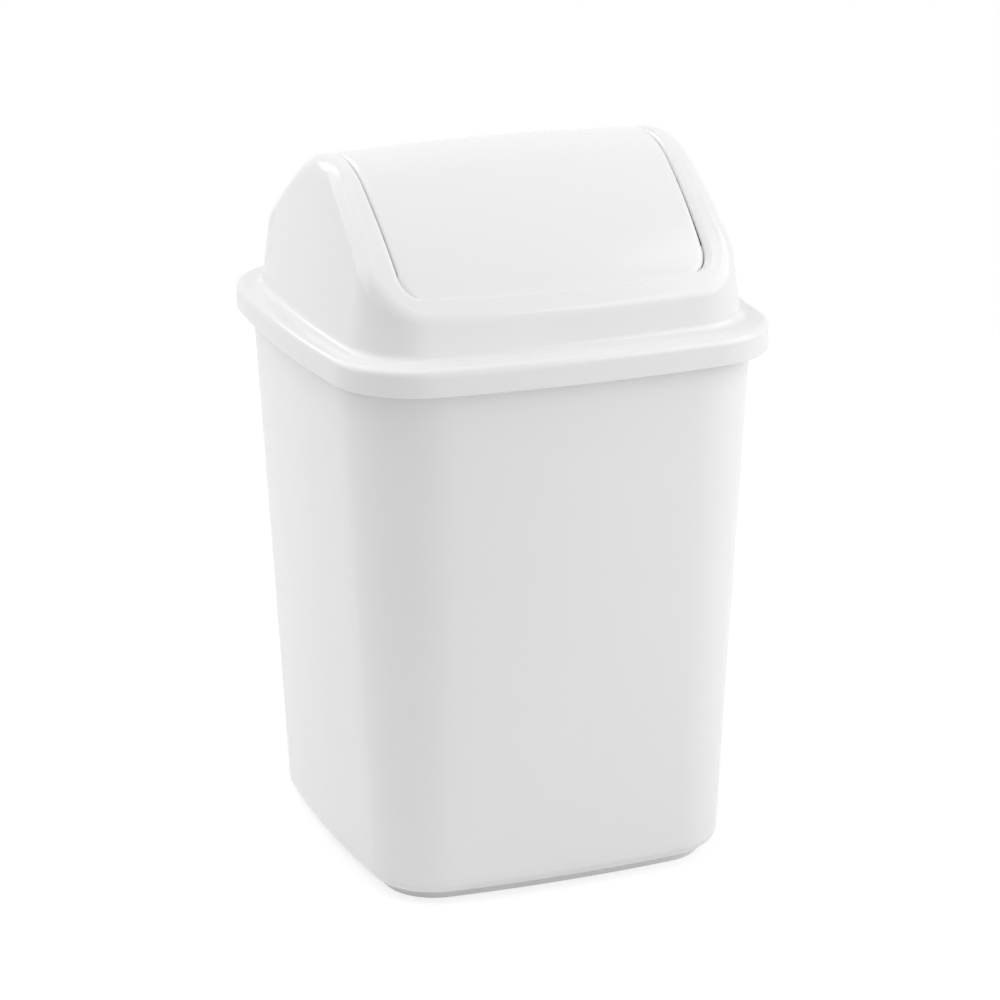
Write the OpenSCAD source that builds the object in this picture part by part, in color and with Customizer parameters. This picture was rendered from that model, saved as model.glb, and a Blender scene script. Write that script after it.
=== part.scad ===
// Countertop trash can with a swing flap lid.
// Origin: middle of the foot ring, on the counter. +Z is up and the front faces -Y.

/* [Lid hood] */
// Width across the skirt
lid_w = 190; // [180:0.2:220]
// Depth across the skirt, front to back
lid_d = 193; // [183:0.2:215]
// Vertical corner radius of the skirt
lid_corner_r = 37; // [34:0.1:42]
// How far the skirt hangs below the top of the deck
skirt_h = 11; // [8:0.2:18]
// Rounding of the skirt's top edge
skirt_round = 3; // [2.5:0.1:4]
// Thickness of the lid moulding
lid_wall = 1.8; // [1.4:0.1:2.4]
// Width of the deck at each side of the plinth
deck_side = 10; // [9:0.2:16]
// Width of the deck in front of the plinth and behind it
deck_front = 14.8; // [13:0.2:20]
// Vertical corner radius of the plinth at the deck
plinth_corner_r = 28; // [22:0.2:32]
// Lean of the plinth walls, mm inward for every mm up
plinth_draft = 0.142; // [0.1:0.001:0.16]
// Hollow fillet between the plinth and the deck
deck_fillet = 3.2; // [1.5:0.1:5]
// Rolled edge between the roof and the plinth walls
roof_edge_r = 7.8; // [4:0.1:9]
// Height of the crest above the deck
hood_h = 67.2; // [60:0.2:76]
// Height of the roof above the deck at the middle of the opening's front and back edges
eave_h = 21.1; // [18:0.1:25]
// Radius of the crest
crest_r = 47.4; // [36:0.2:55]
// Slope where the crest runs into the front and back of the roof, degrees
crest_slope = 31.4; // [26:0.2:34]
// How much lower the crest is at the opening's sides than in the middle
crown = 1.8; // [0.4:0.1:3]
// How far the opening's sides stand in from the foot of the plinth
frame_side = 19.6; // [17:0.2:26]
// How far the opening's front and back edges stand in from the foot of the plinth
frame_front = 8.4; // [8:0.2:14]
// Corner radius of the opening, seen from above
open_corner_r = 10.8; // [8:0.2:16]
// Rolled-in rounding along the sides of the opening
frame_round = 2; // [0.6:0.1:2.4]
// Depth of the lip turned down along the sides of the opening
frame_lip = 3; // [1:0.1:3.4]

/* [Swing flap] */
// Gap all round the flap
flap_gap = 0.9; // [0.7:0.05:1.6]
// Thickness of the flap
flap_t = 1.6; // [1.2:0.1:2.2]
// How far the flap sits below the roof at the crest
flap_sink = 0.4; // [0:0.1:1]
// How much lower than the roof the flap is at its front and back edges
flap_tuck = 3; // [1:0.1:4]
// Rounding along the flap's sides
flap_round = 2; // [0.6:0.1:2.4]
// Depth of the turned-down edges along the flap's sides
flap_edge = 8; // [6:0.5:11]
// Height of the pivot below the crest
pivot_drop = 14.4; // [13:0.2:18]
// Radius of the pivot pins
pin_r = 3; // [2:0.1:3.5]
// Running clearance of the pins in their sockets
pin_clear = 0.05; // [0.02:0.01:0.1]
// Swing each way to the stop ribs, degrees
swing = 66; // [40:1:70]

/* [Bin body] */
// Height from the counter to the top of the rim
bin_h = 227.9; // [160:0.2:260]
// Vertical corner radius just under the rim
bin_corner_r = 39.9; // [36:0.1:46]
// Lean of each wall, mm inward for every mm down
bin_draft = 0.0506; // [0.03:0.0002:0.06]
// Thickness of the bin's wall
bin_wall = 1.8; // [1.4:0.1:3]
// Thickness of the floor
floor_t = 2; // [1.6:0.1:3]
// Fillet between the floor and the walls, outside
floor_fillet = 6.5; // [5:0.1:9]
// Height of the foot ring under the floor
foot_h = 3.5; // [2:0.1:5]
// Width of the foot ring's rib
foot_t = 2.2; // [1.6:0.1:4]
// How far the foot ring stands in from the wall
foot_inset = 7.4; // [7:0.1:9]
// How far the rim bead stands out from the wall
rim_out = 2.4; // [1.6:0.1:3]
// Height of the rim bead
rim_h = 4; // [2:0.1:7]
// Gap between the rim bead and the inside of the lid's skirt
rim_clear = 1; // [0.6:0.1:2]

/* [Hidden] */

// No wall is flat: each one is a slow arc of this radius between the corners
skirt_bow_r = 590;
plinth_bow_r = 716;
open_side_bow_r = 2000;
open_front_bow_r = 625;

// The lid's deck rests on the bin's rim
lid_floor = bin_h;
deck_top = lid_floor + lid_wall;
skirt_bottom = deck_top - skirt_h;
overall_h = deck_top + hood_h;

plinth_w = lid_w - 2 * deck_side;
plinth_d = lid_d - 2 * deck_front;
open_w = plinth_w - 2 * frame_side;
open_d = plinth_d - 2 * frame_front;
flap_half = open_w / 2 - flap_gap;
// Rounding where an edge is meant to be crisp, along the front and back of the opening and the flap
crisp_r = 0.3;
// Least height of any turned-down edge
least_lip = 0.4;

// Pivot: pins on the flap's ears, in blind sockets on the inside of the hood's end walls
pivot_z = overall_h - pivot_drop;
pin_length = 6.6;
pin_chamfer = 0.8;
ear_r = 8;
ear_set_in = 0.3;
ear_t = flap_t + 0.2;
ear_clear = 0.8;
socket_wall = 3;
socket_r = pin_r + socket_wall;
socket_x = flap_half + ear_clear;
socket_depth = pin_length - ear_clear + 0.4;
// Stop peg under each pin, and the ribs that it meets at the end of the swing
peg_r = 1.8;
peg_arm = 11.5;
peg_wall = 1.6;
peg_length = 5;
rib_t = 1.8;
rib_start = pin_r + 1;
rib_end = peg_arm + 3;
rib_step = 0.6;

// The rim bead takes its size from the skirt that closes over it
bin_w = lid_w - 2 * (lid_wall + rim_clear + rim_out);
bin_d = lid_d - 2 * (lid_wall + rim_clear + rim_out);
rim_edge = 0.6;
// Corner radius of the outlines that cap the floor
cap_r = 4;

// Extra length on what is trimmed or cut through
over = 1;
$fn = 48;

// ---- outlines ----
// An outline is a list of [point, outward normal] pairs. The points are where the corner arcs
// have their centres, so adding r times the normal gives the rounded outline of corner radius r,
// and a wall that leans keeps the same pairs and only changes r.

// Where the points stand along half a side: closer together by the crest, where the roof turns
side_steps = [0, 0.07, 0.15, 0.235, 0.33, 0.45, 0.62, 0.81];
end_steps = [0.3, 0.65, 1];
corner_steps = 7;

// Centre of the +X +Y corner arc of an outline w by d. Its sides are bowed at radius side_r and
// its front and back at radius front_r.
function corner_centre(w, d, r, side_r, front_r, c, n = 12) =
  n == 0 ? c :
  corner_centre(w, d, r, side_r, front_r, [
    w / 2 - side_r + sqrt(pow(side_r - r, 2) - pow(c.y, 2)),
    d / 2 - front_r + sqrt(pow(front_r - r, 2) - pow(c.x, 2))
  ], n - 1);

function outline(w, d, r, side_r, front_r) =
  let (
    c = corner_centre(w, d, r, side_r, front_r, [w / 2 - r, d / 2 - r]),
    bx = side_r - r,
    by = front_r - r,
    ax = asin(c.y / bx),
    ay = asin(c.x / by),
    side = [for (f = side_steps) let (t = ax * f)
      [[c.x + bx * (cos(t) - cos(ax)), bx * sin(t)], [cos(t), sin(t)]]],
    corner = [for (i = [0:corner_steps]) let (t = ax + (90 - ax - ay) * i / corner_steps)
      [c, [cos(t), sin(t)]]],
    end = [for (f = end_steps) let (t = 90 - ay + ay * f)
      [[by * cos(t), c.y + by * (sin(t) - cos(ay))], [cos(t), sin(t)]]],
    first = concat(side, corner, end),
    last = len(first) - 1
  )
  concat(
    first,
    [for (i = [last - 1:-1:0]) mirrored(first[i], -1, 1)],
    [for (i = [1:last]) mirrored(first[i], -1, -1)],
    [for (i = [last - 1:-1:1]) mirrored(first[i], 1, -1)]
  );

function mirrored(p, sx, sy) = [[p[0].x * sx, p[0].y * sy], [p[1].x * sx, p[1].y * sy]];

// One level ring of an outline, at corner radius r and height z
function ring(o, r, z) = [for (p = o) [p[0].x + r * p[1].x, p[0].y + r * p[1].y, z]];

// Level rings of an outline, one for each [corner radius, height] of a section
function rings(o, section) = [for (s = section) ring(o, s.x, s.y)];

// Skin over rings that all have the same number of points, in order round a section. The two
// ends are "joined" to each other, each capped "flat", or closed by the given points and faces.
module skin(rings, ends, cap_points = [], cap_faces = []) {
  n = len(rings[0]);
  m = len(rings);
  bands = ends == "joined" ? m : m - 1;
  polyhedron(
    points = concat([for (r = rings) each r], cap_points),
    faces = concat(
      [for (j = [0:bands - 1]) for (i = [0:n - 1])
        let (a = j * n, b = ((j + 1) % m) * n, k = (i + 1) % n)
          each [[a + i, b + i, a + k], [a + k, b + i, b + k]]],
      ends == "flat" ? [[for (i = [0:n - 1]) i], [for (i = [n - 1:-1:0]) (m - 1) * n + i]] : [],
      cap_faces
    )
  );
}

function reverse(v) = [for (i = [len(v) - 1:-1:0]) v[i]];

function unit(v) = v / norm(v);

// ---- bin body ----

bin_outline = outline(bin_w, bin_d, bin_corner_r, skirt_bow_r, skirt_bow_r);
bin_slant = sqrt(1 + pow(bin_draft, 2));

// Corner radius of the bin's wall at height z, measured in from the outer face
function bin_r(z, inset = 0) = bin_corner_r - bin_draft * (bin_h - z) - inset * bin_slant;

// Fillet of radius r from a floor at height z0 up to the leaning wall, as [corner radius, height]
function floor_arc(r, z0, inset, steps) =
  let (cz = z0 + r, cr = bin_r(cz, inset) - r * bin_slant, lean = atan(bin_draft))
  [for (i = [0:steps]) let (t = -90 + (90 - lean) * i / steps)
    [cr + r * cos(t), cz + r * sin(t)]];

module bin_body() {
  foot_r = bin_r(foot_h + floor_fillet) - foot_inset;
  floor_top = foot_h + floor_t;
  rim_r = bin_r(bin_h) + rim_out;
  foot = [[cap_r, foot_h], [foot_r - foot_t, foot_h], [foot_r - foot_t, 0], [foot_r, 0], [foot_r, foot_h]];
  rim = [
    [bin_r(bin_h - rim_h), bin_h - rim_h],
    [rim_r - rim_edge, bin_h - rim_h],
    [rim_r, bin_h - rim_h + rim_edge],
    [rim_r, bin_h - rim_edge],
    [rim_r - rim_edge, bin_h],
    [bin_r(bin_h, bin_wall), bin_h]
  ];
  color("white")
    skin(rings(bin_outline, concat(
      foot,
      floor_arc(floor_fillet, foot_h, 0, 6),
      rim,
      reverse(floor_arc(floor_fillet - bin_wall, floor_top, bin_wall, 5)),
      [[cap_r, floor_top]]
    )), "flat");
}

// ---- roof ----
// Seen from the side the roof is a crest arc that runs into longer front and back arcs.
// The crest also drops a little from the middle to the ends. A roof is [crest radius, radius of
// its front and back, height of the crest].

// Radius of the arc that leaves a crest of radius rc at the crest slope and passes through a
// point y out from the middle and drop below the top of the crest
function eave_radius(rc, y, drop) =
  let (v = [y - rc * sin(crest_slope), rc * (1 - cos(crest_slope)) - drop])
  (v * v) / (-2 * v * [sin(crest_slope), cos(crest_slope)]);

function roof(rc, top, eave_z) = [rc, eave_radius(rc, open_d / 2, top - eave_z), top];

hood_roof = roof(crest_r, overall_h, deck_top + eave_h);
flap_roof = roof(crest_r - flap_sink, overall_h - flap_sink, deck_top + eave_h - flap_tuck);

function crown_drop(x) = crown * pow(2 * x / open_w, 2);

function roof_z(roof, x, y) =
  let (a = abs(y), rc = roof[0], rf = roof[1], far = (rf - rc) * sin(crest_slope))
  (a <= rc * sin(crest_slope)
    ? roof[2] - rc + sqrt(rc * rc - a * a)
    : roof[2] - rc - (rf - rc) * cos(crest_slope) + sqrt(rf * rf - pow(a + far, 2)))
  - crown_drop(x);

// Upward normal of a roof
function roof_n(roof, x, y) =
  let (
    a = abs(y),
    rc = roof[0],
    rf = roof[1],
    lean = a <= rc * sin(crest_slope) ? asin(a / rc) : asin((a + (rf - rc) * sin(crest_slope)) / rf)
  )
  unit([8 * crown * x / pow(open_w, 2), (y < 0 ? -1 : 1) * tan(lean), 1]);

// Point on a roof, or t under its surface
function on_roof(roof, x, y, t = 0) = [x, y, roof_z(roof, x, y) - t / roof_n(roof, x, y).z];

// Direction f of the way along the arc from one unit direction to another
function arc_between(a, b, f) =
  let (w = acos(min(1, a * b)))
  w < 0.01 ? a : (a * sin((1 - f) * w) + b * sin(f * w)) / sin(w);

// Rolled edge where a wall of normal nw meets a roof of normal nr at the sharp point e:
// [centre of a ball of radius r that touches both, wall normal, roof normal, r]
function rolled_edge(e, nw, nr, r) = [e - (nw + nr) * r / (1 + nw * nr), nw, nr, r];

// Ring over a list of rolled edges, f of the way from wall to roof, t in from the outside
function rolled_ring(edges, f, t = 0) = [for (e = edges) e[0] + (e[3] - t) * arc_between(e[1], e[2], f)];

// The roll is full along the sides and crisp along the front and back
function roll_at(n, full) = crisp_r + (full - crisp_r) * pow(n.x, 2);

// ---- lid hood ----

lid_outline = outline(lid_w, lid_d, lid_corner_r, skirt_bow_r, skirt_bow_r);
plinth_outline = outline(plinth_w, plinth_d, plinth_corner_r, plinth_bow_r, plinth_bow_r);
open_outline = outline(open_w, open_d, open_corner_r, open_side_bow_r, open_front_bow_r);
plinth_slant = sqrt(1 + pow(plinth_draft, 2));

function plinth_r(z, inset = 0) =
  plinth_corner_r - plinth_draft * (z - deck_top) - inset * plinth_slant;

// Height where plinth wall and roof would meet in a sharp edge: climb the wall to the roof's height
function roof_meets_wall(p, z, n = 14) =
  n == 0 ? z :
  let (q = p[0] + plinth_r(z) * p[1])
  roof_meets_wall(p, roof_z(hood_roof, q.x, q.y), n - 1);

// Outer edge of the roof, rolled over into the plinth walls
outer_edge = [for (p = plinth_outline)
  let (
    z = roof_meets_wall(p, deck_top + eave_h),
    q = p[0] + plinth_r(z) * p[1]
  )
  rolled_edge([q.x, q.y, z], unit([p[1].x, p[1].y, plinth_draft]), roof_n(hood_roof, q.x, q.y),
    roof_edge_r)];

// Inner edge of the roof, rolled over into the opening
inner_edge = [for (p = open_outline)
  let (q = p[0] + open_corner_r * p[1])
  rolled_edge(on_roof(hood_roof, q.x, q.y), [-p[1].x, -p[1].y, 0], roof_n(hood_roof, q.x, q.y),
    roll_at(p[1], frame_round))];

// Ring on the roof halfway between the two rolled edges, t under the surface
function mid_ring(t) =
  let (a = rolled_ring(outer_edge, 1), b = rolled_ring(inner_edge, 1))
  [for (i = [0:len(a) - 1]) on_roof(hood_roof, (a[i].x + b[i].x) / 2, (a[i].y + b[i].y) / 2, t)];

// The opening's lip: its outer face stands lid_wall out from the opening, and it hangs below the
// roof's underside there, most at the sides
function lip_ring(out, down) =
  [for (p = open_outline)
    let (
      q = p[0] + (open_corner_r + out) * p[1],
      s = p[0] + (open_corner_r + lid_wall) * p[1],
      z = on_roof(hood_roof, s.x, s.y, lid_wall).z
    )
    [q.x, q.y, z - down * (least_lip + frame_lip * pow(p[1].x, 2))]];

// Hollow corner of radius r from a deck at height z0 up the plinth wall, as [corner radius, height]
function deck_arc(r, z0, inset, steps) =
  let (cz = z0 + r, cr = plinth_r(cz, inset) + r * plinth_slant, lean = atan(plinth_draft))
  [for (i = [0:steps]) let (t = -90 - (90 - lean) * i / steps)
    [cr + r * cos(t), cz + r * sin(t)]];

// Rounded top edge of the skirt, at distance q from the arc's centre, from the side up
function skirt_arc(q, steps) =
  [for (i = [0:steps]) let (t = 90 * i / steps)
    [lid_corner_r - skirt_round + q * cos(t), deck_top - skirt_round + q * sin(t)]];

// The whole moulding is one skin: up the outside from the skirt, over the roof, down into the
// opening and back along the inside
module hood_shell() {
  skin(concat(
    rings(lid_outline, concat([[lid_corner_r, skirt_bottom]], skirt_arc(skirt_round, 4))),
    rings(plinth_outline, deck_arc(deck_fillet, deck_top, 0, 4)),
    [for (f = [0:0.25:1]) rolled_ring(outer_edge, f)],
    [mid_ring(0)],
    [for (f = [1, 0.6, 0.3, 0]) rolled_ring(inner_edge, f)],
    [lip_ring(0, 1), lip_ring(lid_wall, 1), lip_ring(lid_wall, 0)],
    [mid_ring(lid_wall)],
    [for (f = [1, 0.7, 0.35, 0]) rolled_ring(outer_edge, f, lid_wall)],
    rings(plinth_outline, reverse(deck_arc(deck_fillet + lid_wall, lid_floor, lid_wall, 2))),
    rings(lid_outline, concat(
      reverse(skirt_arc(skirt_round - lid_wall, 2)),
      [[lid_corner_r - lid_wall, skirt_bottom]]
    ))
  ), "joined");
}

// Runs a shape drawn in the Y-Z plane along X
module along_x(x0, x1) {
  translate([x0, 0, 0])
    rotate([90, 0, 90])
      linear_extrude(x1 - x0)
        children();
}

// A round bar along X, z above the pivot's axis
module bar(r, x0, x1, z = 0, r_end = undef) {
  translate([x0, 0, pivot_z + z])
    rotate([0, 90, 0])
      cylinder(r1 = r, r2 = is_undef(r_end) ? r : r_end, h = x1 - x0);
}

// Socket and stop ribs on the inside of the +X end wall, run on past the wall
module socket_block() {
  wall_x = plinth_w / 2;
  stop = swing + asin(peg_r / peg_arm);
  bar(socket_r, socket_x, wall_x);
  for (side = [-1, 1])
    translate([socket_x + rib_step, 0, pivot_z])
      rotate([side * stop, 0, 0])
        translate([0, side > 0 ? 0 : -rib_t, -rib_end])
          cube([wall_x - socket_x, rib_t, rib_end - rib_start]);
}

// Everything beyond the middle of the +X end wall's thickness
module beyond_end_wall() {
  translate([plinth_w / 2 - lid_wall / 2, 0, deck_top])
    rotate([0, -atan(plinth_draft), 0])
      translate([0, -plinth_d / 2, -over])
        cube([plinth_w / 2, plinth_d, 2 * hood_h]);
}

module lid_hood() {
  color("white")
    difference() {
      union() {
        hood_shell();
        for (turn = [0, 180])
          rotate([0, 0, turn]) {
            difference() {
              socket_block();
              beyond_end_wall();
            }
          }
      }
      for (turn = [0, 180])
        rotate([0, 0, turn]) {
          bar(pin_r + pin_clear, socket_x - over, socket_x + socket_depth);
          bar(pin_r + over, socket_x, socket_x + over, 0, pin_r);
        }
    }
}

// ---- swing flap ----
// The flap has the opening's outline less the gap. Its front and back edges are also held inside
// the circle that the opening's edge allows about the pivot, so the gap stays open all through
// the swing.

open_corner = corner_centre(open_w, open_d, open_corner_r, open_side_bow_r, open_front_bow_r,
  [open_w / 2 - open_corner_r, open_d / 2 - open_corner_r]);

// Half depth of the opening at distance x from the middle
function open_y(x) =
  let (a = abs(x), tangent_x = open_corner.x * open_front_bow_r / (open_front_bow_r - open_corner_r))
  a < tangent_x
    ? open_d / 2 - open_front_bow_r + sqrt(pow(open_front_bow_r, 2) - a * a)
    : open_corner.y + sqrt(max(0, pow(open_corner_r, 2) - pow(a - open_corner.x, 2)));

// Radius about the pivot that clears the opening's edge by the gap, at distance x from the middle
function sweep_r(x) =
  norm([open_y(x), pivot_z - roof_z(hood_roof, x, open_y(x))]) - flap_gap;

// How far out from the middle a point of the flap may be at x and height z
function swing_y(x, y, z) =
  (y < 0 ? -1 : 1) * min(abs(y), sqrt(pow(sweep_r(x), 2) - pow(pivot_z - z, 2)));

// The same for a point on the flap's outer face, whose height changes as it moves in
function face_y(x, y, at, n = 6) =
  n == 0 ? at : face_y(x, y, swing_y(x, y, roof_z(flap_roof, x, at)), n - 1);

flap_edges = [for (p = open_outline)
  let (
    q = p[0] + (open_corner_r - flap_gap) * p[1],
    y = face_y(q.x, q.y, q.y)
  )
  rolled_edge(on_roof(flap_roof, q.x, y), [p[1].x, p[1].y, 0], roof_n(flap_roof, q.x, y),
    roll_at(p[1], flap_round))];

// Turned-down edge of the flap: deepest at the pivot, gone where the corners begin
function flap_turn(y) = flap_edge * sqrt(max(0, 1 - pow(y / open_corner.y, 2)));

// Lower end of the turned-down edge, as [outer point, inner point, point of the underside above it]
flap_hem = [for (i = [0:len(open_outline) - 1])
  let (
    n = open_outline[i][1],
    e = flap_edges[i][0] + flap_edges[i][3] * flap_edges[i][1],
    top = on_roof(flap_roof, e.x - flap_t * n.x, e.y - flap_t * n.y, flap_t),
    z = top.z - least_lip - flap_turn(e.y),
    y = swing_y(e.x, e.y, z),
    x_in = e.x - flap_t * n.x,
    y_in = y - flap_t * n.y
  )
  [[e.x, y, z], [x_in, y_in, z], on_roof(flap_roof, x_in, y_in, flap_t)]];

// Each face of the panel is a patch inside a ring of outline points. Its rows run along the
// crest between points of the sides, and its columns between points of the front and back.
// Row and column 0 are in the middle, and the last ones meet at a point of the corner arc.
quarter = len(side_steps) + corner_steps + len(end_steps);
rows = len(side_steps) + ceil(corner_steps / 2);
columns = quarter - rows;
row_length = 2 * columns + 1;

function patch_points(ring, t) =
  [for (j = [-rows:rows]) for (i = [-columns:columns])
    on_roof(flap_roof, sign(i) * ring[quarter - abs(i)].x, sign(j) * ring[abs(j)].y, t)];

// Number of the outline point that mirrors point k of the first quarter into the quarter sx, sy
function mirror_number(k, sx, sy) =
  sx > 0 ? (sy > 0 || k == 0 ? k : 4 * quarter - k) : 2 * quarter + (sy > 0 ? -k : k);

// Number of patch point i, j: one beyond the last row or column it is a point of the ring
function patch_number(i, j, ring_start, patch_start) =
  abs(i) > columns || abs(i) == columns && abs(j) == rows ? ring_start + mirror_number(abs(j), i, j) :
  abs(j) > rows ? ring_start + mirror_number(quarter - abs(i), i, j) :
  patch_start + (j + rows) * row_length + i + columns;

function patch_faces(ring_start, patch_start, turned) =
  [for (j = [-rows - 1:rows]) for (i = [-columns - 1:columns])
    let (beyond_x = i < -columns || i == columns, beyond_y = j < -rows || j == rows)
    if (!(beyond_x && beyond_y))
      let (cell = [for (c = [[0, 0], [0, 1], [1, 1], [1, 0]])
        patch_number(i + c.x, j + c.y, ring_start, patch_start)])
      for (f = [[cell[0], cell[1], cell[2]], [cell[0], cell[2], cell[3]]])
        if (f[0] != f[1] && f[1] != f[2] && f[2] != f[0])
          turned ? reverse(f) : f];

module flap_panel() {
  face = rolled_ring(flap_edges, 1);
  hem = [for (k = [0:2]) [for (h = flap_hem) h[k]]];
  shell = reverse(concat([face], [for (f = [0.7, 0.35, 0]) rolled_ring(flap_edges, f)], hem));
  n = len(face);
  under_start = len(shell) * n;
  face_start = under_start + row_length * (2 * rows + 1);
  skin(shell, "patched",
    concat(patch_points(hem[2], flap_t), patch_points(face, 0)),
    concat(patch_faces(0, under_start, true), patch_faces(under_start - n, face_start, false)));
}

// Ear round the pin, with an arm down to the stop peg
module flap_ear() {
  peg_hold = peg_r + peg_wall;
  outer_x = flap_half - ear_set_in;
  along_x(outer_x - ear_t, outer_x)
    translate([0, pivot_z]) {
      circle(ear_r);
      translate([-peg_hold, -peg_arm])
        square([2 * peg_hold, peg_arm]);
      translate([0, -peg_arm])
        circle(peg_hold);
    }
}

module flap_pins() {
  root = flap_half - flap_t / 2;
  tip = flap_half + pin_length;
  bar(pin_r, root, tip - pin_chamfer);
  bar(pin_r, tip - pin_chamfer, tip, 0, pin_r - pin_chamfer);
  bar(peg_r, root, flap_half + peg_length, -peg_arm);
}

module swing_flap() {
  color("white") {
    flap_panel();
    for (turn = [0, 180])
      rotate([0, 0, turn]) {
        flap_ear();
        flap_pins();
      }
  }
}

bin_body();
lid_hood();
swing_flap();
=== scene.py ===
# %% [markdown]
# # A small countertop bin with a swing lid
#
# The real bin is three plastic mouldings: a deep tapered body, a domed hood that lifts
# off, and a flap that swings in the hood's opening on two pins. The CAD frame already
# has their sizes, places and joints. This lesson gives each one a smooth skin and a
# glossy white finish, then lights them as a studio would.
#
# The frame's own parts could be shown as they are, but their walls are made of small
# flat facets, and a glossy white surface shows every one. So each part is replaced by
# a smooth skin of the same size in the same place.

# %% Load the frame
from math import asin, atan, cos, degrees, pi, radians, sin, sqrt
import bmesh
import bpy
from mathutils import Matrix, Vector


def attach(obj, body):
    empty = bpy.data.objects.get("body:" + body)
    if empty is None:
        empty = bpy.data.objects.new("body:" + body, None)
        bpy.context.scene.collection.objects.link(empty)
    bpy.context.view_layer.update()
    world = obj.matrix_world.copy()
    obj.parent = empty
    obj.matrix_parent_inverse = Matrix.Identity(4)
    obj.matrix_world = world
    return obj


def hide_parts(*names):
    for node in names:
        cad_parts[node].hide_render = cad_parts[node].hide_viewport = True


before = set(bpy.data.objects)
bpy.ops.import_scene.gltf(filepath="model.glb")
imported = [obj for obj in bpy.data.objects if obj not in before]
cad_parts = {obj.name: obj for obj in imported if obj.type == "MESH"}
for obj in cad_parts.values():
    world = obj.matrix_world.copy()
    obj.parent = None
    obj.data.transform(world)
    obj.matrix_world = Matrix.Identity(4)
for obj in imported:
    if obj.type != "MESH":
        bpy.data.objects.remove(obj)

scene = bpy.context.scene
scene.view_settings.view_transform = "Standard"
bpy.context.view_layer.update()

# %% [markdown]
# ## The camera
#
# The photograph was taken with a long lens from the bin's front left, looking down
# at about eighteen degrees. A camera could be nudged by eye until the picture looks
# right, but on a plain white object an edge that is a millimetre out is easily seen.
# So this one was found by matching the straight edges of the body and skirt. It is
# given as an angle round the bin, a tilt, a slight roll and a distance.

# %% Place the camera
AZIMUTH = radians(-21.163)
TILT = radians(17.996)
ROLL = radians(-0.248)
DISTANCE = 1.5186
FOCAL_LENGTH = 131.3
SENSOR = 36
AIM_HEIGHT, AIM_RIGHT, AIM_UP = 0.143, 0.00085, -0.0004

back = Vector((sin(AZIMUTH) * cos(TILT), -cos(AZIMUTH) * cos(TILT), sin(TILT)))
right = Vector((cos(AZIMUTH), sin(AZIMUTH), 0))
up = back.cross(right)
frame_right = right * cos(ROLL) + up * sin(ROLL)
frame_up = up * cos(ROLL) - right * sin(ROLL)
aim = Vector((0, 0, AIM_HEIGHT)) + AIM_RIGHT * frame_right + AIM_UP * frame_up

camera_data = bpy.data.cameras.new("camera")
camera_data.sensor_width = SENSOR
camera_data.lens = FOCAL_LENGTH
camera = bpy.data.objects.new("camera", camera_data)
turn = Matrix((frame_right, frame_up, back)).transposed()
camera.matrix_world = Matrix.Translation(aim + back * DISTANCE) @ turn.to_4x4()
scene.collection.objects.link(camera)
scene.camera = camera
print("camera at", [round(v, 3) for v in camera.matrix_world.translation])

# %% [markdown]
# ## Sizes
#
# These repeat the CAD model's named sizes, in millimetres, with Z up from the
# worktop and the front of the bin facing -Y. Only what several pieces share is here,
# and the rest comes with the piece that needs it. Blender counts in metres, so each
# point is multiplied by MM when it is placed.

# %% Sizes that the pieces share
MM = 0.001
BIN_HEIGHT = 227.9
LID_WIDTH, LID_DEPTH, LID_CORNER = 190.0, 193.0, 37.0
LID_WALL = 1.8
DECK = BIN_HEIGHT + LID_WALL
CREST = DECK + 67.2
PIVOT = CREST - 14.4
OPEN_WIDTH, OPEN_DEPTH, OPEN_CORNER = 130.8, 146.6, 10.8
print("deck at", round(DECK, 1), "pivot at", round(PIVOT, 1), "top at", round(CREST, 1), "mm")

# %% [markdown]
# ## One outline for every wall
#
# Seen from above, every wall of this bin is a rounded square whose sides bow out a
# little, as moulded walls do so that they don't look hollow. A bevelled cube would
# have the round corners but not the bow. So the outline is drawn as four corner arcs
# joined by four very flat arcs.
#
# Each point is kept as the centre of its arc and a direction, so the same outline can
# be drawn at any corner radius. A wall that leans, or a wall inside another, is the
# same outline with a smaller radius.

# %% The centre of a corner
WALL_BOW = 590
SIDE_STEPS, CORNER_STEPS, FRONT_STEPS = 40, 20, 18
QUARTER = SIDE_STEPS + CORNER_STEPS + FRONT_STEPS


def corner_centre(width, depth, r, side_bow, front_bow):
    """Where a corner arc of radius r runs into both flat arcs, found by settling."""
    x, y = width / 2 - r, depth / 2 - r
    for _ in range(12):
        x, y = (width / 2 - side_bow + sqrt((side_bow - r) ** 2 - y * y),
                depth / 2 - front_bow + sqrt((front_bow - r) ** 2 - x * x))
    return x, y


print("the skirt's corner turns round",
      [round(v, 1) for v in corner_centre(LID_WIDTH, LID_DEPTH, LID_CORNER, WALL_BOW, WALL_BOW)])

# %% The outline


def mirrored(pairs, sx, sy):
    flip = Vector((sx, sy, 0))
    return [(centre * flip, normal * flip) for centre, normal in pairs]


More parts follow.
